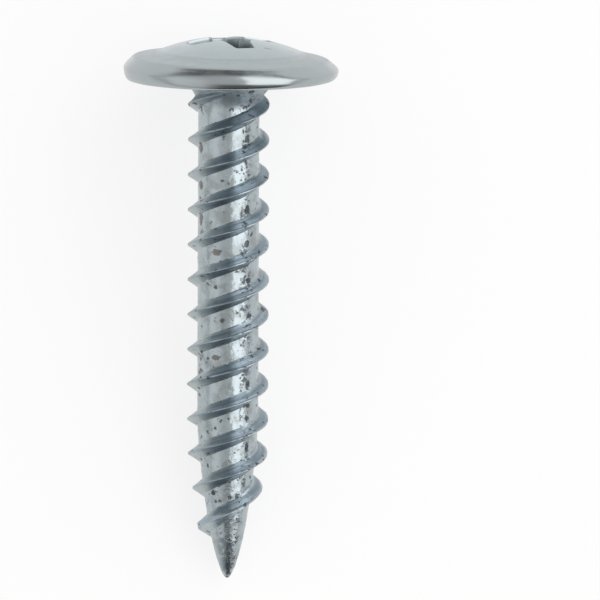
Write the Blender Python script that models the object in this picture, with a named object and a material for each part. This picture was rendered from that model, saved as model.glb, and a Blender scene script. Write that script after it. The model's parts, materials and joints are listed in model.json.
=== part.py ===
"""A truss head wood and sheet metal screw, zinc plated, 4.2 mm with an 11 mm head.

The screw is one piece. A length of steel wire is headed cold, which makes the wide
domed head with its cross recess, and the shank is then rolled between two dies,
which raise a coarse two-start thread and draw out the sharp point.

The screw is modelled about its own axis, Z, with the bearing face of the head at
height zero, the dome above it and the point below it. Then it is laid down as it
comes to rest: on the rim of its head and on one crest of its thread, with its
length along Y and its head at the +Y end. Lengths are in metres.
"""

import math

import bmesh
import bpy
from mathutils import Matrix, Vector

MM = 0.001

# Head, from the edge inwards. The widths add up inwards to the dome.
HEAD_DIAMETER = 11.0 * MM
RIM_WIDTH = 0.85 * MM
FLANGE_WIDTH = 0.44 * MM
RING_WIDTH = 0.48 * MM
STEP_WIDTH = 0.06 * MM

# Head, from the bearing face upwards. The rises add up to the head's height.
RIM_DEPTH = 0.45 * MM
RIM_RISE = 0.65 * MM
FLANGE_RISE = 0.105 * MM
RING_RISE = 0.115 * MM
STEP_RISE = 0.05 * MM
DOME_RISE = 0.73 * MM

# Roll of the rim: above its widest line it leans in, below it turns under.
RIM_LEAN_WIDTH = 0.01 * MM
RIM_LEAN_RISE = 0.384 * MM
RIM_TURN_UNDER = 0.16 * MM

# Neck, the flare that carries the head
NECK_FLARE = 0.92 * MM
NECK_LENGTH = 1.40 * MM
NECK_CURVE = 1.65

# Shank
SHANK_LENGTH = 25.8 * MM
ROOT_DIAMETER = 3.12 * MM
POINT_LENGTH = 8.20 * MM
POINT_SWELL = 1.3
POINT_CURVE = 0.58

# Thread: two right-hand starts. Depths are measured down from the bearing face.
MAJOR_DIAMETER = 4.15 * MM
STARTS = 2
CREST_SPACING = 1.80 * MM
CREST_WIDTH = 0.06 * MM
UPPER_FLANK_ANGLE = math.radians(33.0)
LOWER_FLANK_ANGLE = math.radians(30.0)
ROOT_BLEND = 0.05 * MM
FIRST_CREST_DEPTH = 1.35 * MM
RUN_IN_DEPTH = 0.30 * MM
RUN_IN_LENGTH = 0.30 * MM
CREST_TAPER_LENGTH = 6.75 * MM
CREST_TAPER_ANGLE = math.radians(7.7)
THREAD_TO_TIP = 2.20 * MM
RUN_OUT_LENGTH = 0.35 * MM
START_STAGGER = 1.15 * MM

# End of the thread: the last turn is drawn out towards the tip, and its crest is blunt.
LAST_TURN_TO_TIP = 4.50 * MM
LAST_TURN_STRETCH = 0.16 * MM
LAST_TURN_STRETCH_LENGTH = 0.70 * MM
LAST_TURN_CREST_WIDTH = 0.24 * MM

# Cross recess. Its outline is given where it opens in the dome and on its floor.
RECESS_SPAN = 4.70 * MM
RECESS_TIP_WIDTH = 1.15 * MM
RECESS_ROOT_WIDTH = 1.44 * MM
RECESS_CORNER = 0.36 * MM
RECESS_FLOOR_SPAN = 2.29 * MM
RECESS_FLOOR_TIP_WIDTH = 0.67 * MM
RECESS_FLOOR_ROOT_WIDTH = 0.74 * MM
RECESS_FLOOR_CORNER = 0.15 * MM
RECESS_END_ANGLE = math.radians(26.5)
RECESS_FLOOR_ANGLE = math.radians(28.0)
RECESS_TURN = math.radians(22.0)
RECESS_CUTTER_RISE = 0.40 * MM
WINGS = 4

# How finely the round forms are divided
SEGMENTS = 48
DOME_RINGS = 6
RIM_RINGS = 5
TURN_UNDER_RINGS = 4
POINT_RINGS = 8

# Sizes that follow from the ones above
HEAD_RADIUS = HEAD_DIAMETER / 2.0
ROOT_RADIUS = ROOT_DIAMETER / 2.0
MAJOR_RADIUS = MAJOR_DIAMETER / 2.0
LEAD = STARTS * CREST_SPACING
DOME_RADIUS = HEAD_RADIUS - RIM_WIDTH - FLANGE_WIDTH - RING_WIDTH - STEP_WIDTH
DOME_BASE = RIM_DEPTH + RIM_RISE + FLANGE_RISE + RING_RISE + STEP_RISE
HEAD_HEIGHT = DOME_BASE + DOME_RISE
POINT_DEPTH = SHANK_LENGTH - POINT_LENGTH
CREST_TAPER_DEPTH = SHANK_LENGTH - CREST_TAPER_LENGTH
THREAD_END_DEPTH = SHANK_LENGTH - THREAD_TO_TIP
LAST_TURN_DEPTH = SHANK_LENGTH - LAST_TURN_TO_TIP
THREAD_BAND = (RUN_IN_DEPTH, THREAD_END_DEPTH + RUN_OUT_LENGTH)


def clear_scene():
    """Remove every object of the scene."""
    for item in list(bpy.data.objects):
        bpy.data.objects.remove(item, do_unlink=True)


def column_angle(column):
    """Angle of one column of vertices, with a flat facet at each quarter turn."""
    return 2.0 * math.pi * (column + 0.5) / SEGMENTS


def dome_curvature():
    """Radius of the sphere that the dome is a cap of."""
    return (DOME_RADIUS ** 2 + DOME_RISE ** 2) / (2.0 * DOME_RISE)


def dome_height(radius):
    """Height of the dome's surface at a distance from the axis."""
    sphere = dome_curvature()
    return HEAD_HEIGHT - sphere + math.sqrt(sphere ** 2 - radius ** 2)


def curve_point(start, middle, end, share):
    """Point on a curve that leaves start towards middle and arrives at end."""
    first = (1.0 - share) ** 2
    second = 2.0 * share * (1.0 - share)
    third = share ** 2
    return tuple(first * a + second * b + third * c for a, b, c in zip(start, middle, end))


def head_profile():
    """Radius and height of each ring of the head, from the dome to the underside."""
    rings = []
    sphere = dome_curvature()
    dome_angle = math.asin(DOME_RADIUS / sphere)
    for step in range(1, DOME_RINGS + 1):
        radius = sphere * math.sin(dome_angle * step / DOME_RINGS)
        rings.append((radius, dome_height(radius)))

    step_foot = (DOME_RADIUS + STEP_WIDTH, DOME_BASE - STEP_RISE)
    ring_edge = (step_foot[0] + RING_WIDTH, step_foot[1] - RING_RISE)
    shoulder = (ring_edge[0] + FLANGE_WIDTH, ring_edge[1] - FLANGE_RISE)
    rings += [step_foot, ring_edge, shoulder]

    widest = (HEAD_RADIUS, RIM_DEPTH)
    lean = (HEAD_RADIUS - RIM_LEAN_WIDTH, RIM_DEPTH + RIM_LEAN_RISE)
    for step in range(1, RIM_RINGS + 1):
        rings.append(curve_point(shoulder, lean, widest, step / RIM_RINGS))

    for step in range(1, TURN_UNDER_RINGS + 1):
        angle = 0.5 * math.pi * step / TURN_UNDER_RINGS
        radius = HEAD_RADIUS - RIM_TURN_UNDER * (1.0 - math.cos(angle))
        rings.append((radius, RIM_DEPTH * (1.0 - math.sin(angle))))
    return rings


def core_radius(depth):
    """Radius of the shank without its thread: the neck, the straight part, the point."""
    if depth < NECK_LENGTH:
        return ROOT_RADIUS + NECK_FLARE * (1.0 - depth / NECK_LENGTH) ** NECK_CURVE
    if depth > POINT_DEPTH:
        share = min((depth - POINT_DEPTH) / POINT_LENGTH, 1.0)
        return ROOT_RADIUS * (1.0 - share ** POINT_SWELL) ** POINT_CURVE
    return ROOT_RADIUS


def ease(share):
    """Smooth rise from 0 to 1."""
    share = min(max(share, 0.0), 1.0)
    return share * share * (3.0 - 2.0 * share)


def ridge_end(ridge):
    """Depth at which the start that a ridge belongs to has run out."""
    return THREAD_END_DEPTH - START_STAGGER * ((ridge + 1) % STARTS)


def ridge_height(ridge, depth):
    """Height of a ridge of the thread over the core, at the depth of its crest."""
    taper = max(depth - CREST_TAPER_DEPTH, 0.0) * math.tan(CREST_TAPER_ANGLE)
    height = max(MAJOR_RADIUS - taper - core_radius(depth), 0.0)
    run_in = ease((depth - RUN_IN_DEPTH) / RUN_IN_LENGTH)
    run_out = ease((ridge_end(ridge) - depth) / RUN_OUT_LENGTH)
    return height * run_in * run_out


def ridge_section(ridge, column):
    """Depth and radius of a ridge's section in one column: foot, crest, foot, root."""
    depth = FIRST_CREST_DEPTH + ridge * CREST_SPACING
    depth -= LEAD * column_angle(column) / (2.0 * math.pi)
    drawn = (depth - LAST_TURN_DEPTH) / LAST_TURN_STRETCH_LENGTH
    depth += LAST_TURN_STRETCH * ease(drawn)
    height = ridge_height(ridge, depth)
    blunting = (LAST_TURN_CREST_WIDTH - CREST_WIDTH) * ease(drawn / 2.0)
    half_crest = (CREST_WIDTH + blunting) / 2.0
    upper_foot = half_crest + ROOT_BLEND + height * math.tan(UPPER_FLANK_ANGLE)
    lower_foot = half_crest + ROOT_BLEND + height * math.tan(LOWER_FLANK_ANGLE)
    section = [
        (depth - upper_foot, 0.0),
        (depth - half_crest, height),
        (depth + half_crest, height),
        (depth + lower_foot, 0.0),
        (depth + CREST_SPACING / 2.0, 0.0),
    ]
    return [(line, core_radius(line) + rise) for line, rise in section]


def add_ring(mesh, radius, height):
    """One closed ring of vertices about the axis."""
    ring = []
    for column in range(SEGMENTS):
        angle = column_angle(column)
        place = (radius * math.cos(angle), radius * math.sin(angle), height)
        ring.append(mesh.verts.new(place))
    return ring


def add_band(mesh, upper, lower):
    """Faces between two rings."""
    for column in range(SEGMENTS):
        following = (column + 1) % SEGMENTS
        corners = (upper[column], lower[column], lower[following], upper[following])
        mesh.faces.new(corners)


def add_cap(mesh, ring, height, upwards):
    """Fan of faces that closes a ring at a point on the axis."""
    centre = mesh.verts.new((0.0, 0.0, height))
    for column in range(SEGMENTS):
        following = (column + 1) % SEGMENTS
        pair = (ring[column], ring[following]) if upwards else (ring[following], ring[column])
        mesh.faces.new((centre, *pair))


def add_thread(mesh, upper_ring, lower_ring):
    """Threaded surface between two rings, made of lines that follow the helix.

    Each column of vertices meets the ridges one after the other. A line that has
    not started yet, or that has run past the lower ring, is at the ring's vertex.
    """
    top, bottom = THREAD_BAND
    first_ridge = math.floor((top - FIRST_CREST_DEPTH) / CREST_SPACING) - 1
    last_ridge = math.ceil((bottom + LEAD - FIRST_CREST_DEPTH) / CREST_SPACING) + 1

    columns = []
    for column in range(SEGMENTS + 1):
        angle = column_angle(column)
        own_top = upper_ring[column % SEGMENTS]
        own_bottom = lower_ring[column % SEGMENTS]
        line = []
        if column == SEGMENTS:
            shift = STARTS * len(ridge_section(0, 0))
            line = [own_top] * shift + columns[0][:-shift]
            columns.append(line)
            continue
        for ridge in range(first_ridge, last_ridge + 1):
            for depth, radius in ridge_section(ridge, column):
                if depth <= top:
                    line.append(own_top)
                elif depth >= bottom:
                    line.append(own_bottom)
                else:
                    place = (radius * math.cos(angle), radius * math.sin(angle), -depth)
                    line.append(mesh.verts.new(place))
        columns.append(line)

    for left, right in zip(columns, columns[1:]):
        for index in range(len(left) - 1):
            corners = [left[index], left[index + 1], right[index + 1], right[index]]
            distinct = list(dict.fromkeys(corners))
            if len(distinct) > 2:
                mesh.faces.new(distinct)


def screw_mesh():
    """The whole screw about its own axis, without its recess."""
    mesh = bmesh.new()
    rings = [add_ring(mesh, radius, height) for radius, height in head_profile()]
    add_cap(mesh, rings[0], HEAD_HEIGHT, True)

    neck_top = add_ring(mesh, core_radius(0.0), 0.0)
    thread_top = add_ring(mesh, core_radius(THREAD_BAND[0]), -THREAD_BAND[0])
    rings += [neck_top, thread_top]
    for upper, lower in zip(rings, rings[1:]):
        add_band(mesh, upper, lower)

    thread_bottom = add_ring(mesh, core_radius(THREAD_BAND[1]), -THREAD_BAND[1])
    add_thread(mesh, thread_top, thread_bottom)

    above = thread_bottom
    nose_length = SHANK_LENGTH - THREAD_BAND[1]
    for step in range(1, POINT_RINGS):
        turn = 0.5 * math.pi * step / POINT_RINGS
        depth = THREAD_BAND[1] + nose_length * math.sin(turn)
        below = add_ring(mesh, core_radius(depth), -depth)
        add_band(mesh, above, below)
        above = below
    add_cap(mesh, above, -SHANK_LENGTH, False)
    return mesh


def recess_outline(reach, tip_width, root_width, corner):
    """Plan of the cross: each wing's end, its flared sides and the cut inner corners."""
    tip = tip_width / 2.0
    root = root_width / 2.0
    quarter = [(reach, tip), (root + corner, root), (root, root + corner), (tip, reach)]
    outline = []
    for wing in range(WINGS):
        turn = Matrix.Rotation(RECESS_TURN + 2.0 * math.pi * wing / WINGS, 2)
        outline += [turn @ Vector(point) for point in quarter]
    return outline


def recess_mesh():
    """Solid that the punch takes out of the head: drafted walls and a conical floor."""
    mouth = RECESS_SPAN / 2.0
    floor = RECESS_FLOOR_SPAN / 2.0
    mouth_height = dome_height(mouth)
    floor_height = mouth_height - (mouth - floor) / math.tan(RECESS_END_ANGLE)
    cutter_height = HEAD_HEIGHT + RECESS_CUTTER_RISE
    stretch = (cutter_height - floor_height) / (mouth_height - floor_height)

    mouth_plan = recess_outline(mouth, RECESS_TIP_WIDTH, RECESS_ROOT_WIDTH, RECESS_CORNER)
    floor_plan = recess_outline(
        floor, RECESS_FLOOR_TIP_WIDTH, RECESS_FLOOR_ROOT_WIDTH, RECESS_FLOOR_CORNER
    )

    mesh = bmesh.new()
    upper, lower = [], []
    for mouth_point, floor_point in zip(mouth_plan, floor_plan):
        above = floor_point + (mouth_point - floor_point) * stretch
        upper.append(mesh.verts.new((above.x, above.y, cutter_height)))
        sink = max(floor - floor_point.length, 0.0) * math.tan(RECESS_FLOOR_ANGLE)
        lower.append(mesh.verts.new((floor_point.x, floor_point.y, floor_height - sink)))

    centre = mesh.verts.new((0.0, 0.0, floor_height - floor * math.tan(RECESS_FLOOR_ANGLE)))
    for index in range(len(upper)):
        following = (index + 1) % len(upper)
        mesh.faces.new((upper[index], lower[index], lower[following], upper[following]))
        mesh.faces.new((lower[following], lower[index], centre))
    mesh.faces.new(upper)
    return mesh


def add_object(name, mesh, pose):
    """Turn a finished bmesh into an object in the scene."""
    data = bpy.data.meshes.new(name)
    mesh.to_mesh(data)
    mesh.free()
    item = bpy.data.objects.new(name, data)
    bpy.context.collection.objects.link(item)
    item.matrix_world = pose
    return item


def resting_stretch(outline):
    """The two points that a straight edge touches when it is laid along the outline."""
    hull = []
    for point in map(Vector, sorted(outline)):
        while len(hull) > 1:
            run = hull[-1] - hull[-2]
            reach = point - hull[-2]
            if run.x * reach.y - run.y * reach.x < 0.0:
                break
            hull.pop()
        hull.append(point)
    return max(zip(hull, hull[1:]), key=lambda pair: (pair[1] - pair[0]).length)


def resting_pose(mesh):
    """Turn and shift that lay the screw on the floor, centred over the origin."""
    side = {(vert.co.z, vert.co.y) for vert in mesh.verts}
    thread_contact, rim_contact = resting_stretch(side)
    tilt = math.atan2(rim_contact.y - thread_contact.y, rim_contact.x - thread_contact.x)
    turn = Matrix.Rotation(tilt - math.pi / 2.0, 4, "X")
    corners = [turn @ vert.co for vert in mesh.verts]
    lows = [min(corner[axis] for corner in corners) for axis in range(3)]
    highs = [max(corner[axis] for corner in corners) for axis in range(3)]
    middle = Vector(((lows[0] + highs[0]) / 2.0, (lows[1] + highs[1]) / 2.0, lows[2]))
    return Matrix.Translation(-middle) @ turn


def zinc_plate():
    """Bright zinc plating on steel."""
    material = bpy.data.materials.new("zinc_plate")
    material.use_nodes = True
    shader = material.node_tree.nodes["Principled BSDF"]
    shader.inputs["Base Color"].default_value = (0.62, 0.66, 0.69, 1.0)
    shader.inputs["Metallic"].default_value = 1.0
    shader.inputs["Roughness"].default_value = 0.3
    return material


def main():
    clear_scene()
    body = screw_mesh()
    pose = resting_pose(body)
    screw = add_object("truss_head_screw", body, pose)
    cutter = add_object("recess_cutter", recess_mesh(), pose)
    cutter.hide_render = True
    cutter.display_type = "WIRE"

    recess = screw.modifiers.new("cross recess", "BOOLEAN")
    recess.operation = "DIFFERENCE"
    recess.solver = "EXACT"
    recess.object = cutter

    screw.data.materials.append(zinc_plate())
    screw.data.shade_smooth()
    screw.data.set_sharp_from_angle(angle=math.radians(30.0))


main()
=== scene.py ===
# %% [markdown]
# # A zinc plated truss head screw
#
# The object is one screw, 28 mm long, with a wide low head, a cross recess, a coarse
# two-start thread and a drawn-out point. It is made like the real one: a head that is
# turned in shape, a shank whose thread follows a rule, and a recess that is punched in.
# All of it is modelled in millimetres about the screw's own axis, with the bearing face
# of the head at height zero, and is laid down on the floor at the end.

import json
import math
from types import SimpleNamespace

import bmesh
import bpy
import numpy as np
from mathutils import Matrix, Vector


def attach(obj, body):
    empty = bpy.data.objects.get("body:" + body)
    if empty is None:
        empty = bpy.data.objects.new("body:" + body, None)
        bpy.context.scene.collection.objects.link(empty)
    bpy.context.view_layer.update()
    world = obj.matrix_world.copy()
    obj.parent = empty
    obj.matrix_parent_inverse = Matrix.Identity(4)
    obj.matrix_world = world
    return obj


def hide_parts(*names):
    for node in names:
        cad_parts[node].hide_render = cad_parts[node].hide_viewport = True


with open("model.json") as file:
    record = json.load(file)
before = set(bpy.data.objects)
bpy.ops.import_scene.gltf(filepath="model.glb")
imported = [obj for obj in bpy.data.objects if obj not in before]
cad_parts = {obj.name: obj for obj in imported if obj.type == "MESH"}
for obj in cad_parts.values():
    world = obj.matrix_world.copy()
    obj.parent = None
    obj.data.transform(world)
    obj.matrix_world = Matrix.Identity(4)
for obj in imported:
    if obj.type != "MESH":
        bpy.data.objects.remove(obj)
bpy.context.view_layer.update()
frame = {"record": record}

# %% [markdown]
# ## Where the screw lies
#
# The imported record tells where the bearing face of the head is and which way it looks.
# The screw's own axes follow from that: its length runs from the point to the head, its
# own X is the frame's X, and its own Y points down to the floor.

# %% Place the screw's own axes
MM = 0.001
bearing = frame["record"]["mounts"][0]
to_head = -Vector(bearing["axis"]).normalized()
own_x = Vector((1.0, 0.0, 0.0))
own_y = to_head.cross(own_x).normalized()
bearing_centre = Vector((0.0, bearing["pos_m"][1], bearing["pos_m"][2]))


def axes_at(x, y, z, origin):
    """The matrix that turns the usual axes to these three and moves them to an origin."""
    made = Matrix((x, y, z)).transposed().to_4x4()
    made.translation = origin
    return made


pose = axes_at(own_x, own_y, to_head, bearing_centre)
tilt = math.asin(to_head.z)
print(f"The axis rises towards the head by {math.degrees(tilt):.2f} degrees")

# %% [markdown]
# ## Small helpers for node trees
#
# A node tree is easier to read when its sums look like sums. `node` adds one node with its
# settings and inputs in a single line. `Value` wraps a socket, so that a + b, a * b and so
# on each add a Math node.

# %% One node in one line
def plain(value):
    """The socket inside a Value, or the value itself."""
    return value.socket if isinstance(value, Value) else value


def node(tree, kind, inputs=None, **settings):
    """Add a node, set it up and connect or fill its inputs, by name or by number."""
    made = tree.nodes.new(kind)
    for name, setting in settings.items():
        setattr(made, name, setting)
    for name, value in (inputs or {}).items():
        value = plain(value)
        if isinstance(value, bpy.types.NodeSocket):
            tree.links.new(value, made.inputs[name])
        else:
            made.inputs[name].default_value = value
    return made


# %% Sums that look like sums
class Value:
    """A number that runs through a node tree. Each sign adds one Math node."""

    def __init__(self, tree, socket):
        self.tree = tree
        self.socket = socket

    def math(self, operation, *others, clamp=False):
        """One Math node on this number and the others."""
        inputs = dict(enumerate((self, *others)))
        made = node(self.tree, "ShaderNodeMath", inputs, operation=operation, use_clamp=clamp)
        return Value(self.tree, made.outputs[0])

    def __add__(self, other):
        return self.math("ADD", other)

    def __sub__(self, other):
        return self.math("SUBTRACT", other)

    def __mul__(self, other):
        return self.math("MULTIPLY", other)

    def __truediv__(self, other):
        return self.math("DIVIDE", other)

    def __pow__(self, other):
        return self.math("POWER", other)

    def __neg__(self):
        return self.math("MULTIPLY", -1.0)

    def ease(self, start, end):
        """Smooth rise from 0 at start to 1 at end."""
        inputs = {"Value": self, "From Min": start, "From Max": end}
        made = node(
            self.tree, "ShaderNodeMapRange", inputs, interpolation_type="SMOOTHSTEP"
        )
        return Value(self.tree, made.outputs[0])

    def span(self, start, end, low, high):
        """Straight run from low at start to high at end, and level beyond."""
        names = ("From Min", "From Max", "To Min", "To Max")
        inputs = {"Value": self, **dict(zip(names, (start, end, low, high)))}
        return Value(self.tree, node(self.tree, "ShaderNodeMapRange", inputs).outputs[0])


def split(tree, place):
    """The three numbers of a place."""
    parts = node(tree, "ShaderNodeSeparateXYZ", {0: place}).outputs
    return [Value(tree, parts[axis]) for axis in "XYZ"]


# %% [markdown]
# ## The shank and its thread
#
# The real thread is rolled: two dies press its shape into a smooth wire. Two ridges wind
# round the shank, so one turn climbs by two crest spacings. A Screw modifier could sweep a
# section round the axis, but it can't flare the neck or let each ridge run out on the
# point. Geometry Nodes suit it well, because every point follows from two numbers: how far
# round the shank it is, and which line of the thread it lies on. A flat grid is wrapped
# round the axis, and each of its rows follows the helix. Rows that run past the bearing
# face or the tip are held there, and Merge by Distance welds them and the seam.

# %% Sizes of the shank, in millimetres
COLUMNS = 192  # points round the axis
LINES = 24  # grid rows from one crest to the next
FLANK_LINES = 7.0  # rows from a crest to the foot of its flank
WELD = 0.002
STARTS = 2
RIDGES = 18
FIRST_RIDGE = -1
SEAM_FADE = 20.0  # for each millimetre: the seam is whole where a ridge is 0.05 high

SHANK_SIZES = {
    "Core Radius": 1.56,
    "Crest Radius": 2.075,
    "Crest Spacing": 1.80,
    "First Crest": 1.35,
    "Half Crest": 0.03,
    "Root Blend": 0.05,
    "Upper Flank": math.tan(math.radians(33.0)),
    "Lower Flank": math.tan(math.radians(30.0)),
    "Flank Hollow": 1.18,
    "Length": 25.8,
    "Neck Flare": 0.92,
    "Neck Length": 1.40,
    "Neck Curve": 1.65,
    "Point Length": 8.20,
    "Point Swell": 1.3,
    "Point Curve": 0.58,
    "Taper Start": 19.05,
    "Taper Slope": math.tan(math.radians(7.7)),
    "Thread End": 23.60,
    "Start Stagger": 1.15,
    "Run Out": 0.35,
    "Run In": 0.30,
    "End Stretch": 0.16,
    "Stretch Start": 21.3,
    "Stretch Length": 0.70,
    "End Half Crest": 0.12,
    "Seam Depth": 0.012,
    "Wave Scale": 1.1,
    "Wave Height": 0.045,
    "Grit Scale": 3.4,
    "Grit Height": 0.050,
}
print(f"The shank has {len(SHANK_SIZES)} sizes, and {RIDGES} ridge lines cover it")

# %% Which ridge a grid row belongs to
def ridge_line(across):
    """A row's ridge, and its steps from the crest: minus above it, plus below."""
    row = (across + 0.5) * float(RIDGES * LINES)
    row = row.math("ROUND")
    ridge = (row / float(LINES)).math("FLOOR")
    step = row - ridge * float(LINES) - LINES / 2.0
    return ridge + float(FIRST_RIDGE), step


# %% The shank without its thread
def core_of(depth, size):
    """Radius of the core at a depth: the neck, the straight part, the point."""
    neck = (-(depth / size["Neck Length"]) + 1.0).math("MAXIMUM", 0.0)
    flare = neck ** size["Neck Curve"] * size["Neck Flare"]
    start = size["Length"] - size["Point Length"]
    share = (depth - start).math("DIVIDE", size["Point Length"], clamp=True)
    point = (-(share ** size["Point Swell"]) + 1.0).math("MAXIMUM", 0.0)
    return size["Core Radius"] * point ** size["Point Curve"] + flare


# %% The course of a ridge
def ridge_course(ridge, round_share, size):
    """Depth of a ridge's crest, half the crest's width, and the ridge's height."""
    lead = size["Crest Spacing"] * float(STARTS)
    crest = size["First Crest"] + ridge * size["Crest Spacing"] - lead * round_share
    odd = (ridge + 1.0).math("FLOORED_MODULO", float(STARTS))
    ridge_end = size["Thread End"] - size["Start Stagger"] * odd
    stretched = (crest - size["Stretch Start"]) / size["Stretch Length"]
    wider = size["End Half Crest"] - size["Half Crest"]
    half_crest = size["Half Crest"] + wider * stretched.ease(0.0, 2.0)
    crest = crest + stretched.ease(0.0, 1.0) * size["End Stretch"]

    taper = (crest - size["Taper Start"]).math("MAXIMUM", 0.0) * size["Taper Slope"]
    height = (size["Crest Radius"] - taper - core_of(crest, size)).math("MAXIMUM", 0.0)
    height = height * crest.ease(size["Run In"], size["Run In"] * 2.0)
    height = height * (ridge_end - crest).ease(0.0, size["Run Out"])
    return crest, half_crest, height


# %% The section across a ridge
def ridge_section(step, half_crest, height, size):
    """Way from the crest along the axis, share of the height, and depth of the seam."""
    below = step.math("GREATER_THAN", 0.0)
    slope = size["Upper Flank"] + (size["Lower Flank"] - size["Upper Flank"]) * below
    foot = half_crest + size["Root Blend"] + height * slope
    trough = size["Crest Spacing"] / 2.0 - foot
    away = step.math("ABSOLUTE")
    offset = away.span(0.0, 1.0, 0.0, half_crest)
    offset = offset + away.span(1.0, FLANK_LINES, 0.0, foot - half_crest)
    offset = offset + away.span(FLANK_LINES, LINES / 2.0, 0.0, trough)
    rise = away.span(1.0, FLANK_LINES, 1.0, 0.0) ** size["Flank Hollow"]
    seam = away.span(0.0, 1.0, size["Seam Depth"], 0.0)
    seam = seam * (height * SEAM_FADE).math("MINIMUM", 1.0)
    return offset * step.math("SIGN"), rise, seam


# %% Wrap the grid round the axis
def wrapped_grid(tree, size):
    """The grid as a threaded shank, with the attribute `rise`, and welded."""
    inputs = {"Size X": 1.0, "Size Y": 1.0}
    inputs["Vertices X"] = COLUMNS + 1
    inputs["Vertices Y"] = RIDGES * LINES + 1
    grid = node(tree, "GeometryNodeMeshGrid", inputs).outputs["Mesh"]
    flat = split(tree, node(tree, "GeometryNodeInputPosition").outputs[0])
    round_share = flat[0] + 0.5
    ridge, step = ridge_line(flat[1])
    crest, half_crest, height = ridge_course(ridge, round_share, size)
    offset, rise, seam = ridge_section(step, half_crest, height, size)

    depth = (crest + offset).math("MAXIMUM", 0.0).math("MINIMUM", size["Length"])
    radius = core_of(depth, size) + height * rise - seam
    turn = round_share * (2.0 * math.pi)
    spot = {"X": radius * turn.math("COSINE"), "Y": radius * turn.math("SINE"), "Z": -depth}
    wrapped = node(tree, "ShaderNodeCombineXYZ", spot).outputs[0]

    inputs = {"Geometry": grid, "Name": "rise"}
    inputs["Value"] = rise * height / (size["Crest Radius"] - size["Core Radius"])
    marked = node(tree, "GeometryNodeStoreNamedAttribute", inputs, data_type="FLOAT")
    inputs = {"Geometry": marked.outputs[0], "Position": wrapped}
    placed = node(tree, "GeometryNodeSetPosition", inputs).outputs[0]
    inputs = {"Geometry": placed, "Distance": WELD}
    return node(tree, "GeometryNodeMergeByDistance", inputs).outputs[0]


# %% [markdown]
# ## The rolled surface
#
# Rolling leaves a surface that isn't quite true, with waves and fine grit of a few
# hundredths of a millimetre. Bump alone could paint them, but bright metal shows the real
# form in its reflections, so the points themselves are moved along their normals by noise
# of a fixed seed. The relief fades out at the bearing face, where the head joins on.

# %% Relief from noise
WAVE_DETAIL = 2.0
GRIT_DETAIL = 3.0
SMOOTH_NECK = 0.25


def noise_of(tree, scale, detail, seed):
    """Smooth noise about zero that follows the place of a point."""
    place = node(tree, "GeometryNodeInputPosition").outputs[0]
    inputs = {"Vector": place, "W": seed, "Scale": scale, "Detail": detail}
    made = node(tree, "ShaderNodeTexNoise", inputs, noise_dimensions="4D")
    return Value(tree, made.outputs[0]) - 0.5


def along_normals(tree, geometry, push):
    """Move the points of a surface out along its normals."""
    normal = node(tree, "GeometryNodeInputNormal").outputs[0]
    inputs = {0: normal, "Scale": push}
    moved = node(tree, "ShaderNodeVectorMath", inputs, operation="SCALE").outputs[0]
    inputs = {"Geometry": geometry, "Offset": moved}
    return node(tree, "GeometryNodeSetPosition", inputs).outputs[0]


def rolled_surface(tree, surface, size, seed):
    """The surface with its waves and grit."""
    depth = -split(tree, node(tree, "GeometryNodeInputPosition").outputs[0])[2]
    waves = noise_of(tree, size["Wave Scale"], WAVE_DETAIL, seed) * size["Wave Height"]
    grit = noise_of(tree, size["Grit Scale"], GRIT_DETAIL, seed + 1.0) * size["Grit Height"]
    push = (waves + grit) * depth.ease(0.0, SMOOTH_NECK)
    return along_normals(tree, surface, push)


# %% Put the tree together
def shank_tree(sizes):
    """Geometry Nodes that make the whole shank, with a named input for each size."""
    tree = bpy.data.node_groups.new("rolled_shank", "GeometryNodeTree")
    tree.interface.new_socket("Geometry", in_out="OUTPUT", socket_type="NodeSocketGeometry")
    for name, value in sizes.items():
        socket = tree.interface.new_socket(name, in_out="INPUT", socket_type="NodeSocketFloat")
        socket.default_value = value
    for name, kind in (("Seed", "NodeSocketInt"), ("Finish", "NodeSocketMaterial")):
        tree.interface.new_socket(name, in_out="INPUT", socket_type=kind)

    entry = node(tree, "NodeGroupInput").outputs
    size = {name: Value(tree, entry[name]) for name in sizes}
    surface = wrapped_grid(tree, size)
    surface = rolled_surface(tree, surface, size, Value(tree, entry["Seed"]))
    real = node(tree, "GeometryNodeRealizeInstances", {"Geometry": surface}).outputs[0]
    inputs = {"Geometry": real, "Material": entry["Finish"]}
    dressed = node(tree, "GeometryNodeSetMaterial", inputs).outputs[0]
    node(tree, "NodeGroupOutput", {"Geometry": dressed})
    return tree


# %% [markdown]
# ## The finish, and what its effects share
#
# Bright zinc plating is a thin bluish metal skin. On the head, which the punch has
# smoothed, it is satin. On the rolled shank it is rougher: it has fine grain, cloudy tones,
# small pits that trapped dirt, and brownish stains in the roots of the thread. An image
# could be wrapped on, but it would need a flat layout of a helix. Patterns in space need
# none. They follow the surface through two attributes of the mesh: `own`, each point's
# place about the screw's axis in millimetres, and `rise`, its height on the thread. Grain,
# spots and marks are node groups that put out heights or masks, and the material combines
# them.

# %% Helpers for shader node groups
FLOAT, VECTOR = "NodeSocketFloat", "NodeSocketVector"


def new_group(name, inputs, outputs):
    """A shader node group with named numbers and a place as inputs."""
    tree = bpy.data.node_groups.new(name, "ShaderNodeTree")
    tree.interface.new_socket("Place", in_out="INPUT", socket_type=VECTOR)
    for label, value in inputs.items():
        socket = tree.interface.new_socket(label, in_out="INPUT", socket_type=FLOAT)
        socket.default_value = value
    for label in outputs:
        tree.interface.new_socket(label, in_out="OUTPUT", socket_type=FLOAT)
    entry = node(tree, "NodeGroupInput")
    given = {name: Value(tree, entry.outputs[name]) for name in inputs}
    return tree, entry.outputs["Place"], given


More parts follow.
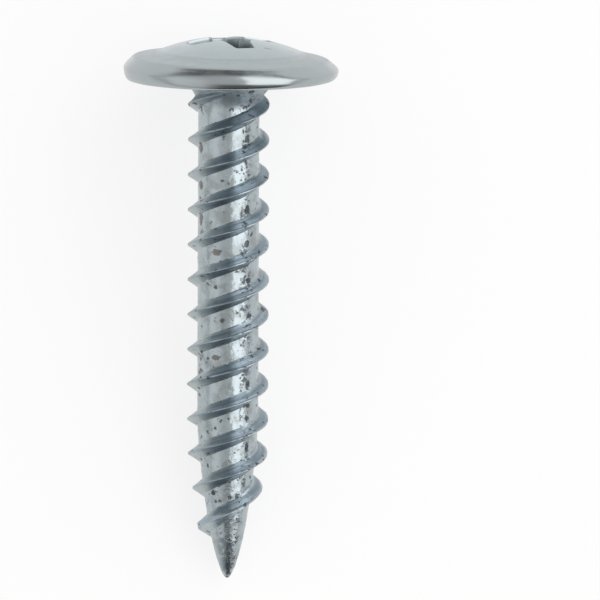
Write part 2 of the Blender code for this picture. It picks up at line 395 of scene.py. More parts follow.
def place_group(tree, group, place, numbers=None):
    """Put a node group in a material and give its outputs by name."""
    made = node(tree, "ShaderNodeGroup", node_tree=group)
    tree.links.new(place, made.inputs["Place"])
    for name, value in (numbers or {}).items():
        made.inputs[name].default_value = value
    return {output.name: Value(tree, output) for output in made.outputs}


# %% Helpers for patterns
def noise(tree, place, scale, detail, output="Fac"):
    """Noise between 0 and 1."""
    inputs = {"Vector": place, "Scale": scale, "Detail": detail}
    return Value(tree, node(tree, "ShaderNodeTexNoise", inputs).outputs[output])


def vector_math(tree, operation, inputs, output="Vector"):
    """One Vector Math node."""
    return node(tree, "ShaderNodeVectorMath", inputs, operation=operation).outputs[output]


def blend(tree, share, first, second):
    """Colour between the first and the second."""
    made = node(tree, "ShaderNodeMix", {0: share, 6: first, 7: second}, data_type="RGBA")
    return made.outputs[2]


# %% [markdown]
# ## Grain and clouds
#
# Plating grows in fine crystals, so it is never an even mirror: close up it has grain, and
# over a few millimetres its tone drifts. Two noises of unlike scale give both.

# %% Grain and clouds
GRAIN_DETAIL = 3.0
CLOUD_DETAIL = 4.0
CLOUD_EDGE = (0.3, 0.7)


def grain_group():
    """Fine grain and broad clouds of a plated surface."""
    inputs = {"Grain Scale": 9.0, "Cloud Scale": 1.2}
    tree, place, given = new_group("plating_grain", inputs, ("Grain", "Clouds"))
    grain = noise(tree, place, given["Grain Scale"], GRAIN_DETAIL)
    clouds = noise(tree, place, given["Cloud Scale"], CLOUD_DETAIL)
    outputs = {"Grain": grain, "Clouds": clouds.ease(*CLOUD_EDGE)}
    node(tree, "NodeGroupOutput", outputs)
    return tree


GRAIN = grain_group()
print("Made the group", GRAIN.name)

# %% [markdown]
# ## Pits and stains
#
# Pits, stains, and the dark chips that are painted reflection, are spots of one kind:
# scattered, ragged and unlike in size. Noise with a sharp threshold gives spots too, but how
# many and how wide can't be set apart. In the cells of a Voronoi pattern they can: each cell
# draws a number, which tells whether it has a spot and how wide, and noise shifts the place,
# which makes the edges ragged.

# %% Scattered spots
def pits_group():
    """Ragged spots: the mask is 1 in a spot, and only some cells have one."""
    inputs = {"Cell Size": 0.4, "Cover": 0.3, "Width": 0.3, "Ragged": 0.5}
    tree, place, given = new_group("plating_pits", inputs, ("Mask",))
    scale = given["Cell Size"] ** -1.0
    wander = noise(tree, place, scale * 2.0, 2.0, "Color")
    centred = vector_math(tree, "SUBTRACT", {0: wander, 1: (0.5, 0.5, 0.5)})
    reach = given["Ragged"] * given["Cell Size"] * 2.0
    shift = vector_math(tree, "SCALE", {0: centred, "Scale": reach})
    moved = vector_math(tree, "ADD", {0: place, 1: shift})
    cells = node(tree, "ShaderNodeTexVoronoi", {"Vector": moved, "Scale": scale}).outputs
    drawn = node(tree, "ShaderNodeSeparateColor", {0: cells["Color"]}).outputs[0]
    draw = Value(tree, drawn)
    width = given["Width"] * (draw / given["Cover"] * 0.5 + 0.5)
    spot = Value(tree, cells["Distance"]).ease(width, width * 0.5)
    node(tree, "NodeGroupOutput", {"Mask": spot * draw.math("LESS_THAN", given["Cover"])})
    return tree


PITS = pits_group()
print("Made the group", PITS.name)

# %% [markdown]
# ## Marks of use
#
# The larger marks sit at chosen places. A scuff on the dome, a nick in a crest, a chip on the
# point and brown stains at the left of the shank are this one screw's own; the row of dark
# chips at the right of the shank, beside its bright strip, is painted dark reflection. Chance
# wouldn't put them in place, so each is an ellipsoid about a chosen point, and noise makes
# its edge ragged.

# %% Places and reaches of the marks, in millimetres about the axis
# A scuff on the dome, a nick in a crest and a chip on the point come first; the rest, in a row
# beside the bright strip of the shank, are painted dark reflection.
DARK_MARKS_AND_PAINTED_REFLECTION = (
    ((1.85, -1.73, 1.76), (0.24, 0.10, 0.10)),
    ((1.78, 0.12, -11.88), (0.16, 0.35, 0.14)),
    ((-0.74, -1.00, -21.23), (0.15, 0.15, 0.15)),
    ((0.96, -1.22, -6.60), (0.15, 0.20, 0.26)),
    ((0.95, -1.22, -2.95), (0.13, 0.20, 0.26)),
    ((0.95, -1.23, -8.35), (0.14, 0.20, 0.22)),
    ((1.02, -1.17, -10.23), (0.14, 0.20, 0.18)),
    ((1.08, -1.12, -12.05), (0.18, 0.20, 0.16)),
    ((1.02, -1.17, -15.55), (0.12, 0.20, 0.18)),
    ((1.04, -1.16, -16.70), (0.11, 0.20, 0.11)),
    ((0.96, -1.22, -17.33), (0.12, 0.20, 0.16)),
    ((1.00, -1.17, -18.87), (0.12, 0.20, 0.34)),
)
BROWN_MARKS = (
    ((-1.42, -0.69, -3.45), (0.16, 0.25, 0.30)),
    ((-1.42, -0.69, -5.40), (0.16, 0.25, 0.26)),
    ((-1.42, -0.74, -7.15), (0.20, 0.25, 0.40)),
    ((-0.58, -1.45, -8.76), (0.32, 0.22, 0.18)),
    ((-0.60, -1.44, -14.17), (0.32, 0.20, 0.14)),
)
print(f"{len(DARK_MARKS_AND_PAINTED_REFLECTION)} dark and {len(BROWN_MARKS)} brown marks")

# %% A group for each kind of mark
MARK_NOISE = (9.0, 2.0)  # scale and detail
MARK_EDGE = (1.05, 0.8)


def marks_group(name, marks):
    """Ragged marks at given places about the screw's axis, each with its own reach."""
    tree, place, given = new_group(name, {"Ragged": 1.2}, ("Mask",))
    wander = (noise(tree, place, *MARK_NOISE) - 0.5) * given["Ragged"]
    mask = Value(tree, 0.0)
    for centre, reach in marks:
        apart = vector_math(tree, "SUBTRACT", {0: place, 1: centre})
        shared = vector_math(tree, "DIVIDE", {0: apart, 1: reach})
        length = Value(tree, vector_math(tree, "LENGTH", {0: shared}, "Value"))
        mask = (length + wander).ease(*MARK_EDGE).math("MAXIMUM", mask)
    node(tree, "NodeGroupOutput", {"Mask": mask})
    return tree


# scuffs, and the painted dark reflection beside the bright strip
SCUFFS_AND_PAINTED_REFLECTION = marks_group("scuffs_and_painted_reflection", DARK_MARKS_AND_PAINTED_REFLECTION)
STAINS = marks_group("root_stains", BROWN_MARKS)
print("Made the groups", SCUFFS_AND_PAINTED_REFLECTION.name, "and", STAINS.name)

# %% [markdown]
# ## Regions of the screw
#
# The head, the neck, the flanks, the crests and the roots of the thread wear and shine in
# their own ways. Each could be a material of its own, but then the tones would change at a
# hard line. A mask for each region, from a point's place and its rise, lets them run into
# each other. Each pair below tells where a mask starts and where it is whole.

# %% Sizes that the finish shares with the shapes, in millimetres
HEAD_HEIGHT = 2.10
DOME_RADIUS = 3.67
DOME_RISE = 0.73
RECESS_DRAFT = math.radians(26.5)
RECESS_CONE = 1.50  # radius of the recess's draft cone at the bearing face, with a margin


def dome_sphere():
    """Radius of the sphere that the dome is a cap of."""
    return (DOME_RADIUS ** 2 + DOME_RISE ** 2) / (2.0 * DOME_RISE)


print(f"The dome is a cap of a sphere of {dome_sphere():.2f} mm radius")

# %% Where each region starts and ends
SHANK_LEVEL = (0.05, -0.15)
NECK_LEVEL = (-1.50, -1.05)
RING_LEVEL = (0.85, 1.0)
DRAWN_LEVEL = (-22.3, -23.0)
RING_INSIDE = (3.40, 4.00)
RING_OUTSIDE = (5.10, 4.90)
RIM_INSIDE = (4.90, 5.10)
CREST_RISE = (0.86, 0.97)
FLANK_RISE = (0.03, 0.25)
ROOT_RISE = (0.30, 0.02)
# where the chips of painted dark reflection lie, just right of the bright strip
DARK_REFLECTION_TURNS = ((0.34, 0.46), (0.92, 0.70))  # turns in radians, to the right of the front
LEFT_TURNS = ((-0.80, -1.10), (-2.2, -1.6))
DRAWN_TURNS = (0.75, 0.35)
RECESS_WALL = (0.0, 0.05)
RECESS_LEVEL = (-1.6, -1.5)
RECESS_SUNK = (0.02, 0.16)


def between(value, edges):
    """Mask of what lies between two soft edges."""
    return value.ease(*edges[0]) * value.ease(*edges[1])


def regions(tree, place, rise):
    """Masks of the regions, from the place about the axis and the rise on the thread."""
    x, y, z = split(tree, place)
    radius = (x * x + y * y).math("SQRT")
    at = SimpleNamespace(x=x, y=y, z=z, turn=x.math("ARCTAN2", -y))
    at.shank = z.ease(*SHANK_LEVEL)
    at.crest = rise.ease(*CREST_RISE)
    at.flank = rise.ease(*FLANK_RISE) * (-at.crest + 1.0)
    at.root = rise.ease(*ROOT_RISE) * at.shank
    at.ring = between(radius, (RING_INSIDE, RING_OUTSIDE)) * z.ease(*RING_LEVEL)
    at.rim = radius.ease(*RIM_INSIDE) * (-at.shank + 1.0)
    at.worn_side = between(at.turn, DARK_REFLECTION_TURNS)
    at.left_side = between(at.turn, LEFT_TURNS)
    at.neck = z.ease(*NECK_LEVEL) * at.shank
    at.drawn = z.ease(*DRAWN_LEVEL) * at.turn.math("ABSOLUTE").ease(*DRAWN_TURNS)

    dome_centre = (0.0, 0.0, HEAD_HEIGHT - dome_sphere())
    from_centre = vector_math(tree, "DISTANCE", {0: place, 1: dome_centre}, "Value")
    at.sunk = -Value(tree, from_centre) + dome_sphere()
    cone = z * math.tan(RECESS_DRAFT) + RECESS_CONE - radius
    at.recess = cone.ease(*RECESS_WALL) * z.ease(*RECESS_LEVEL) * at.sunk.ease(*RECESS_SUNK)
    return at


# %% [markdown]
# ## Patterns of the plating
#
# The dies drag streaks along the flanks of the thread. To make noise run along a helix, it
# is read not at the point itself but on a circle, whose angle is how far the point is from
# the crest. Its value then changes slowly along the thread and fast across it. The spots
# sit where dirt does: pits and dust all over the shank, and stains in the roots. The chips
# just right of the shank's bright strip are painted dark reflection.

# %% Streaks along the thread
STREAK_RING = 1.4
STREAK_STRETCH = 0.5
STREAK_NOISE = (1.5, 4.0)
STREAK_EDGE = (0.36, 0.64)


def thread_streaks(tree, at):
    """Noise that runs along the helix."""
    spacing = SHANK_SIZES["Crest Spacing"]
    phase = at.y.math("ARCTAN2", at.x) * float(STARTS) - at.z * (2.0 * math.pi / spacing)
    inputs = {
        "X": phase.math("COSINE") * STREAK_RING,
        "Y": phase.math("SINE") * STREAK_RING,
        "Z": at.z * STREAK_STRETCH,
    }
    along_thread = node(tree, "ShaderNodeCombineXYZ", inputs).outputs[0]
    return noise(tree, along_thread, *STREAK_NOISE).ease(*STREAK_EDGE)


# %% Spots of the shank
SPOTS = {
    "specks": {"Cell Size": 0.36, "Cover": 0.34, "Width": 0.40},
    # painted dark reflection: chips along the right edge of the bright strip
    "dark_reflection_chips": {"Cell Size": 0.46, "Cover": 1.0, "Width": 0.62, "Ragged": 1.0},
    "blotches": {"Cell Size": 0.9, "Cover": 0.6, "Width": 0.48, "Ragged": 0.9},
    "dust": {"Cell Size": 0.17, "Cover": 0.30, "Width": 0.36},
}
DUST_SHARE = 0.5
PATCH_NOISE = (1.6, 5.0)
PATCH_EDGE = (0.50, 0.62)
PATCH_SHARE = 0.25
STAINED_LEFT = 0.85
STAINED_ELSEWHERE = 0.15


def shank_spots(tree, place, at):
    """Masks of pits, with the painted dark reflection beside the bright strip, and of what is
    stained.
    """
    spots = {kind: place_group(tree, PITS, place, SPOTS[kind])["Mask"] for kind in SPOTS}
    dust = spots["dust"] * at.shank * DUST_SHARE
    pits_and_painted_reflection = (spots["specks"] * at.shank).math("MAXIMUM", dust)
    # painted dark reflection: chips just right of the bright strip
    pits_and_painted_reflection = pits_and_painted_reflection.math("MAXIMUM", spots["dark_reflection_chips"] * at.worn_side * at.shank)
    patches = noise(tree, place, *PATCH_NOISE).ease(*PATCH_EDGE)
    patches = patches * (-at.left_side + 1.0) * PATCH_SHARE
    stained = spots["blotches"] * (at.left_side * STAINED_LEFT + STAINED_ELSEWHERE)
    return pits_and_painted_reflection, stained.math("MAXIMUM", patches) * at.root


# %% [markdown]
# ## Colour
#
# A metal's base colour is the tint of what it mirrors. The plating is a bluish grey that
# is paler or darker by region, and dirt in pits and stains covers it. Some tones are painted
# light and shade: a highlight on the flanks at the right, a sheen on those at the left, shade
# on the crests at the left, under the head and in the recess, and dark reflection in chips
# beside the bright strip. The tones are laid on one after the other, each over the ones
# before it, as layers of paint would be.

# %% Tones
ZINC = (0.425, 0.484, 0.510, 1.0)
CLOUDED_ZINC = (0.345, 0.383, 0.390, 1.0)
RIM_ZINC = (0.400, 0.438, 0.445, 1.0)
# bluish tone of the flanks, also used for the painted shade on the crests and in the neck
FLANK_ZINC = (0.33, 0.40, 0.45, 1.0)
DARK_STREAK = (0.16, 0.205, 0.24, 1.0)
# painted sheen: the paler grey-green of the flanks at the left
LEFT_FLANK_SHEEN = (0.50, 0.55, 0.545, 1.0)
# painted highlight: the paler blue of the flanks at the right, towards the lamp
PAINTED_FLANK_HIGHLIGHT = (0.66, 0.75, 0.82, 1.0)
# painted shade inside the cross recess
RECESS_PAINTED_SHADE = (0.26, 0.285, 0.295, 1.0)
STAIN = (0.13, 0.11, 0.092, 1.0)
# dark of pits and scuffs, also of the painted dark reflection and of the painted shade deep in
# the recess
PIT_AND_SHADE_DARK = (0.04, 0.045, 0.055, 1.0)

# %% Lay the tones on, one over the other
HEAD_CLOUDS = 0.12
SHANK_CLOUDS = 0.45
RING_DARKENING = 0.45
PLAIN_CREST = 0.4
STREAKED_CREST = 0.5
# turns at the right where the flanks get the painted highlight
PALE_TURNS = ((0.0, 0.25), (1.0, 0.6))
PALE_LEVEL = 1.3
# turns at the left where the flanks get the painted sheen
LEFT_SHEEN_TURNS = (-0.30, -0.85)
# how the painted shade on the crests fades from the left to the right
CREST_SHADE_FADE = (0.0, 0.7, 1.0, 0.2)
MOTTLE_NOISE = (3.2, 4.0)
MOTTLE_EDGE = (0.44, 0.58)
# depths below the dome over which the painted shade in the recess deepens
RECESS_DARK = (0.2, 0.7)


def plated_colour(tree, place, at, clouds, streaks, pits_and_painted_reflection, stained):
    """The plating's colour: zinc, its tones by region with painted highlight, sheen and shade,
    then stains, pits and marks, some of them painted dark reflection.
    """
    flanks = at.flank * at.shank
    pale = between(at.turn, PALE_TURNS) * (-streaks + PALE_LEVEL)
    shaded_crest = at.crest * (streaks * STREAKED_CREST + PLAIN_CREST)
    mottle = noise(tree, place, *MOTTLE_NOISE).ease(*MOTTLE_EDGE)
    scuffs_and_reflection = place_group(tree, SCUFFS_AND_PAINTED_REFLECTION, place)["Mask"]
    browned = place_group(tree, STAINS, place)["Mask"]

    # the flat ring of the head is laid evenly darker, apart from the clouds
    clouded = clouds * (at.shank * SHANK_CLOUDS + HEAD_CLOUDS) + at.ring * RING_DARKENING
    colour = blend(tree, clouded, ZINC, CLOUDED_ZINC)
    layers = (  # where a tone lies and how far it covers, and the tone
        (at.rim, RIM_ZINC),
        (flanks * 0.8, FLANK_ZINC),
        (flanks * streaks * 0.65, DARK_STREAK),
        # painted highlight: paler blue on the flanks at the right, towards the lamp, broken by
        # the streaks
        (flanks * pale, PAINTED_FLANK_HIGHLIGHT),
        # painted sheen: paler grey-green on the flanks at the left
        (flanks * (at.turn.ease(*LEFT_SHEEN_TURNS) * 0.75), LEFT_FLANK_SHEEN),
        # painted shade: the crests darker at the left and the front, fading towards the right,
        # broken by the streaks
        (shaded_crest * at.turn.span(*CREST_SHADE_FADE), FLANK_ZINC),
        # painted shade: the neck under the head darker and bluer
        (at.neck * 0.45, FLANK_ZINC),
        (stained * 0.8, STAIN),
        (at.drawn * mottle * 0.7, DARK_STREAK),
        (browned * 0.8, STAIN),
        # pits and dust, and the painted dark reflection beside the bright strip
        (pits_and_painted_reflection * 0.75, PIT_AND_SHADE_DARK),
        # scuffs and a nick, and the painted dark reflection beside the bright strip
        (scuffs_and_reflection * (at.shank * 0.45 + 0.4), PIT_AND_SHADE_DARK),
        # painted shade: the cross recess darker, and darker still the deeper it is sunk
        (at.recess * 0.7, RECESS_PAINTED_SHADE),
        (at.sunk.ease(*RECESS_DARK) * at.recess * 0.7, PIT_AND_SHADE_DARK),
    )
    for share, tone in layers:
        colour = blend(tree, share, colour, tone)
    return colour


# %% [markdown]
# ## Roughness and relief of the plating
#
# Roughness decides how sharp the reflections are: sharp on the dome, blurred on the flanks
# that the dies have dragged, in the neck, and in pits and stains. A bump of about two
# hundredths of a millimetre adds the grain, which is too fine for the mesh. It is weaker
# in the neck, where it would break the dark reflection under the head into specks.

# %% Roughness
SATIN = 0.19
ROLLED = 0.02  # how much rougher the shank is


def plated_roughness(at, clouds, pits_and_painted_reflection, stained):
    """Roughness of the satin head, and more of it where the plating is duller."""
    rough = at.shank * ROLLED + SATIN
    duller = (  # where, and how much rougher
        (at.ring, 0.12),
        (clouds, 0.05),
        (pits_and_painted_reflection, 0.25),
        (stained, 0.15),
        (at.crest, 0.10),
        (at.recess, 0.12),
        (at.flank * at.shank, 0.16),
        (at.neck, 0.24),
    )
    for mask, more in duller:
        rough = rough + mask * more
    return rough


# %% Relief
BUMP_DISTANCE = 0.000022
GRAIN_ON_HEAD = 0.03
GRAIN_ON_SHANK = 0.4
GRAIN_OFF_FLANK = 1.4
GRAIN_LOST_IN_NECK = -0.8
PIT_DEPTH = 0.6


def plated_normal(tree, at, grain, pits_and_painted_reflection):
    """The normal, tilted by the grain and by the pits."""
    grainy = at.shank * (-at.flank + GRAIN_OFF_FLANK) * GRAIN_ON_SHANK + GRAIN_ON_HEAD
    grainy = grainy * (at.neck * GRAIN_LOST_IN_NECK + 1.0)
    inputs = {"Height": grain * grainy - pits_and_painted_reflection * PIT_DEPTH, "Distance": BUMP_DISTANCE}
    return node(tree, "ShaderNodeBump", inputs).outputs[0]


# %% Put the material together
GRAIN_NUMBERS = {"Grain Scale": 6.0, "Cloud Scale": 1.6}


def zinc_plate():
    """Bright zinc plating: satin on the head, with pits and stains on the shank, and painted
    highlight, sheen, shade and dark reflection.
    """
    material = bpy.data.materials.new("zinc_plate")
    material.use_nodes = True
    tree = material.node_tree
    shader = tree.nodes["Principled BSDF"]
    shader.inputs["Metallic"].default_value = 1.0

    place = node(tree, "ShaderNodeAttribute", attribute_name="own").outputs["Vector"]
    rise = Value(tree, node(tree, "ShaderNodeAttribute", attribute_name="rise").outputs["Fac"])
    at = regions(tree, place, rise)
    streaks = thread_streaks(tree, at)
    grain = place_group(tree, GRAIN, place, GRAIN_NUMBERS)
    pits_and_painted_reflection, stained = shank_spots(tree, place, at)

    colour = plated_colour(tree, place, at, grain["Clouds"], streaks, pits_and_painted_reflection, stained)
    rough = plated_roughness(at, grain["Clouds"], pits_and_painted_reflection, stained)
    tree.links.new(colour, shader.inputs["Base Color"])
    tree.links.new(rough.socket, shader.inputs["Roughness"])
    tree.links.new(plated_normal(tree, at, grain["Grain"], pits_and_painted_reflection), shader.inputs["Normal"])
    return material


finish = zinc_plate()
print(f"The plating has {len(finish.node_tree.nodes)} nodes")

# %% [markdown]
# ## Run the shank's tree
#
# A live modifier would be solved again at every change of the mesh, and the head has still
# to be joined on. So the tree runs once, its result is kept as a plain mesh, and the
# modifier is removed. The seed is fixed, so each run gives the same shank.

# %% Helpers for objects
def linked(name, data):
    """A new object in the scene."""
    item = bpy.data.objects.new(name, data)
    bpy.context.scene.collection.objects.link(item)
    return item


def keep_result(item, modifier):
    """Put the result of a modifier in the object's place, and remove the modifier."""
    bpy.context.view_layer.update()
    solved = item.evaluated_get(bpy.context.evaluated_depsgraph_get())
    mesh = bpy.data.meshes.new_from_object(solved)
    item.modifiers.remove(modifier)
    item.data = mesh


# %% Make the shank
SHANK_SEED = 7


def shank_object():
    """The threaded shank as an object with a plain mesh."""
    tree = shank_tree(SHANK_SIZES)
    holder = linked("shank", bpy.data.meshes.new("shank"))
    modifier = holder.modifiers.new("rolled shank", "NODES")
    modifier.node_group = tree
    given = {**SHANK_SIZES, "Seed": SHANK_SEED, "Finish": finish}
    for item in tree.interface.items_tree:
        if item.in_out == "INPUT":
            modifier[item.identifier] = given[item.name]
    keep_result(holder, modifier)
    return holder


shank = shank_object()
print(f"The shank has {len(shank.data.vertices)} points")

# %% [markdown]
# ## The head
#
# The head is cold formed: a punch squeezes the wire's end into a die. It is a turned form.
# A profile could be spun by a Screw modifier, but its points have to meet those of the
# shank at the bearing face. So a list of rings describes it, with as many points round as
# the shank has: the low dome, a fine step, a flat ring, the flange, the rolled rim, and
# the flat bearing face below.

# %% Rings of the head: radius and height, in millimetres
HEAD_RADIUS = 5.5
RIM_DEPTH = 0.50
TURN_UNDER = 0.25
DOME_RINGS = 22
TURN_RINGS = 10
DOME_FOOT = ((DOME_RADIUS, 1.37), (3.72, 1.330), (3.82, 1.300))
FLAT_RING = (
    (3.90, 1.28), (4.05, 1.244), (4.21, 1.205), (4.40, 1.171), (4.60, 1.134),
    (4.76, 1.104), (4.88, 1.08),
)
RING_EDGE = ((4.88, 1.08), (4.955, 1.062), (5.01, 1.017))
BEVEL = ((5.01, 1.017), (5.07, 0.972), (5.14, 0.905))
SHOULDER = ((5.14, 0.905), (5.45, 0.645), (HEAD_RADIUS, RIM_DEPTH))
UNDERSIDE = (4.6, 3.8, 3.1, 2.48)


def dome_height(radius):
    """Height of the dome's surface at a distance from the axis."""
    sphere = dome_sphere()
    return HEAD_HEIGHT - sphere + math.sqrt(sphere ** 2 - radius ** 2)


def curve(points, steps):
    """Points on a smooth curve that leaves the first point and arrives at the last."""
    made = []
    for step in range(1, steps + 1):
        share = step / steps
        weights = ((1.0 - share) ** 2, 2.0 * share * (1.0 - share), share ** 2)
        made.append(tuple(
            sum(weight * point[axis] for weight, point in zip(weights, points))
            for axis in range(2)
        ))
    return made


def head_rings():
    """Radius and height of each ring of the head, from the dome to the neck."""
    rings = []
    sphere = dome_sphere()
    whole = math.asin(DOME_RADIUS / sphere)
    for step in range(1, DOME_RINGS + 1):
        radius = sphere * math.sin(whole * step / DOME_RINGS)
        rings.append((radius, dome_height(radius)))
    rings += curve(DOME_FOOT, 6)
    rings += FLAT_RING
    rings += curve(RING_EDGE, 5)
    rings += curve(BEVEL, 3)
    rings += curve(SHOULDER, 16)
    for step in range(1, TURN_RINGS + 1):
        angle = 0.5 * math.pi * step / TURN_RINGS
        radius = HEAD_RADIUS - TURN_UNDER * (1.0 - math.cos(angle))
        rings.append((radius, RIM_DEPTH * (1.0 - math.sin(angle))))
    rings += [(radius, 0.0) for radius in UNDERSIDE]
    return rings


print(f"The head has {len(head_rings())} rings")

# %% Turn the rings into a surface
def side_faces(mesh, loops, column, following):
    """The faces between two columns of points, from the first loop to the last."""
    for upper, lower in zip(loops, loops[1:]):
        mesh.faces.new((upper[column], lower[column], lower[following], upper[following]))


def turned_mesh(rings, top):
    """A surface of revolution from a list of rings, closed at the top."""
    mesh = bmesh.new()
    loops = []
    for radius, height in rings:
        loop = []
        for column in range(COLUMNS):
            angle = 2.0 * math.pi * column / COLUMNS
            spot = (radius * math.cos(angle), radius * math.sin(angle), height)
            loop.append(mesh.verts.new(spot))
        loops.append(loop)
    pole = mesh.verts.new((0.0, 0.0, top))
    for column in range(COLUMNS):
        following = (column + 1) % COLUMNS
        mesh.faces.new((pole, loops[0][column], loops[0][following]))
        side_faces(mesh, loops, column, following)
    return mesh


# %% Join head and shank into one closed form
HEAD_WELD = 0.003


def as_object(mesh, name):
    """Keep a mesh under construction as an object of the scene."""
    data = bpy.data.meshes.new(name)
    mesh.to_mesh(data)
    mesh.free()
    return linked(name, data)


def closed_screw(shank):
    """Head and shank welded at the bearing face."""
    mesh = turned_mesh(head_rings(), HEAD_HEIGHT)
    mesh.from_mesh(shank.data)
    bmesh.ops.remove_doubles(mesh, verts=mesh.verts, dist=HEAD_WELD)
    bmesh.ops.recalc_face_normals(mesh, faces=mesh.faces)
    open_edges = [edge for edge in mesh.edges if not edge.is_manifold]
    print(f"Joined: {len(mesh.faces)} faces, {len(open_edges)} open edges")
    bpy.data.objects.remove(shank)
    return as_object(mesh, "truss_head_screw_zinc")


screw = closed_screw(shank)

# %% [markdown]
# ## The cross recess
#
# A punch presses the cross into the head. Its wings get narrower and slope inwards on the
# way down, and its floor is a shallow cone. The rings of the head could be opened by hand
# round the cross, but the real way is simpler: the punch is modelled, and taken away from
# the head with an exact Boolean. It widens at the mouth, which rounds the lip.

# %% Sizes of the punch, in millimetres
WINGS = 4
RECESS_TURN = math.radians(20.0)
RECESS_MOUTH = 2.28
RECESS_FLOOR = 1.145
MOUTH_PLAN = (1.05, 1.36, 0.30)  # width at the end of a wing, at its root, inner corner
FLOOR_PLAN = (0.67, 0.74, 0.15)
FLOOR_SLOPE = math.tan(math.radians(28.0))
LIP = ((0.12, 0.30), (0.05, 0.02), (0.022, -0.016), (0.006, -0.055), (0.0, -0.12))
PUNCH_RISE = 0.4
BLUNT = 0.15
BLUNT_PULL = 0.35
CORNER_PULL = 0.15

# %% Plan of the cross
def wing_outline(reach, tip_width, root_width, corner):
    """Plan of the cross: wing ends, flared sides and rounded inner corners."""
    tip, root = tip_width / 2.0, root_width / 2.0
    blunt = BLUNT * tip_width
    end = [
        (reach, tip - blunt),
        (reach - blunt * BLUNT_PULL, tip - blunt * BLUNT_PULL),
        (reach - blunt, tip),
    ]
    foot = root + corner
    side = [
        (foot + (reach - blunt - foot) * share, root + (tip - root) * share)
        for share in (0.75, 0.5, 0.25)
    ]
    middle = root + corner * CORNER_PULL
    bend = curve(((foot, root), (middle, middle), (root, foot)), 5)
    half = end + side + [(foot, root)] + bend[:2]
    quarter = half + [(across, along) for along, across in reversed(half)]
    outline = []
    for wing in range(WINGS):
        turn = Matrix.Rotation(RECESS_TURN + 0.5 * math.pi * wing, 2)
        outline += [turn @ Vector(point) for point in quarter]
    return outline


def grown(outline, margin):
    """The outline moved outwards by a margin."""
    made = []
    neighbours = zip(outline[-1:] + outline[:-1], outline, outline[1:] + outline[:1])
    for before, point, after in neighbours:
        along = (after - before).normalized()
        made.append(point + Vector((along.y, -along.x)) * margin)
    return made


# %% Build the punch
def punch_object():
    """The punch that makes the recess, as an object."""
    mouth_height = dome_height(RECESS_MOUTH)
    drop = (RECESS_MOUTH - RECESS_FLOOR) / math.tan(RECESS_DRAFT)
    floor_height = mouth_height - drop
    above = wing_outline(RECESS_MOUTH, *MOUTH_PLAN)
    below = wing_outline(RECESS_FLOOR, *FLOOR_PLAN)
    mesh = bmesh.new()

    loops = []
    for margin, lift in LIP:
        loop = []
        for point, low in zip(grown(above, margin), below):
            height = dome_height(point.length) + lift
            share = (height - floor_height) / (mouth_height - floor_height)
            spread = low + (point - low) * min(share, 1.0)
            loop.append(mesh.verts.new((spread.x, spread.y, height)))
        loops.append(loop)
    floor_loop = []
    for low in below:
        sink = max(RECESS_FLOOR - low.length, 0.0) * FLOOR_SLOPE
        floor_loop.append(mesh.verts.new((low.x, low.y, floor_height - sink)))
    loops.append(floor_loop)

    top = mesh.verts.new((0.0, 0.0, HEAD_HEIGHT + PUNCH_RISE))
    bottom = mesh.verts.new((0.0, 0.0, floor_height - RECESS_FLOOR * FLOOR_SLOPE))
    count = len(above)
    for column in range(count):
        following = (column + 1) % count
        mesh.faces.new((top, loops[0][column], loops[0][following]))
        mesh.faces.new((bottom, loops[-1][following], loops[-1][column]))
        side_faces(mesh, loops, column, following)
    bmesh.ops.recalc_face_normals(mesh, faces=mesh.faces)
    return as_object(mesh, "punch")


# %% Punch the recess
def punch_recess(screw):
    """Take the punch away from the head, and keep the result as a plain mesh."""
    punch = punch_object()
    cut = screw.modifiers.new("cross recess", "BOOLEAN")
    cut.operation = "DIFFERENCE"
    cut.solver = "EXACT"
    cut.object = punch
    keep_result(screw, cut)
    bpy.data.objects.remove(punch)


punch_recess(screw)
print(f"Punched: {len(screw.data.polygons)} faces")

# %% [markdown]
# ## Wear, and the lie of the screw
#
# The head isn't quite true: it leans by less than a degree, sits a shade off the middle,
# and its rim is thicker at one side than at the other, with shallow waves and a flat spot.
# The part in the library has it square. A lattice could bend it, but a few sums on the
# points say exactly how much. They are done while the mesh is still about its own axis,
# and each point keeps its first place in `own`, which the finish reads. The mesh is then
# turned into the frame, where the screw lies on its rim and on one crest near the point.

# %% Knock the rim about a little
RIM_RAMP_START = 4.0
RIM_RAMP_LENGTH = 1.3
RIM_UNDER = -0.05
RIM_MIDDLE = 0.55
THICKER_LEFT = 0.13
RIM_WAVES = ((0.010, 7.0, 0.6), (0.008, 17.0, 0.0))  # height, waves round the rim, shift
FLAT_DEPTH = 0.045
FLAT_REACH = 0.16


def worn_rim(places):
    """Make the rim thicker at its left side, and give it shallow waves and a flat spot."""
    x, y, z = places[:, 0].copy(), places[:, 1].copy(), places[:, 2].copy()
    radius = np.hypot(x, y)
    share = np.clip((radius - RIM_RAMP_START) / RIM_RAMP_LENGTH, 0.0, 1.0)
    share = share * (z > RIM_UNDER)
    angle = np.arctan2(y, x)
    thicker = 1.0 - THICKER_LEFT * x / HEAD_RADIUS * share
    places[:, 2] = RIM_MIDDLE + (z - RIM_MIDDLE) * thicker
    waves = sum(height * np.sin(count * angle + shift) for height, count, shift in RIM_WAVES)
    flat = -FLAT_DEPTH * np.exp(-((np.abs(angle) - math.pi) / FLAT_REACH) ** 2)
    grow = 1.0 + share * (waves + flat) / HEAD_RADIUS
    places[:, 0], places[:, 1] = x * grow, y * grow


# %% Lean the head and lay the screw down
LEAN = math.radians(0.75)
LEAN_LENGTH = 1.4
OFF_CENTRE = 0.075
SHARP_ANGLE = math.radians(42.0)


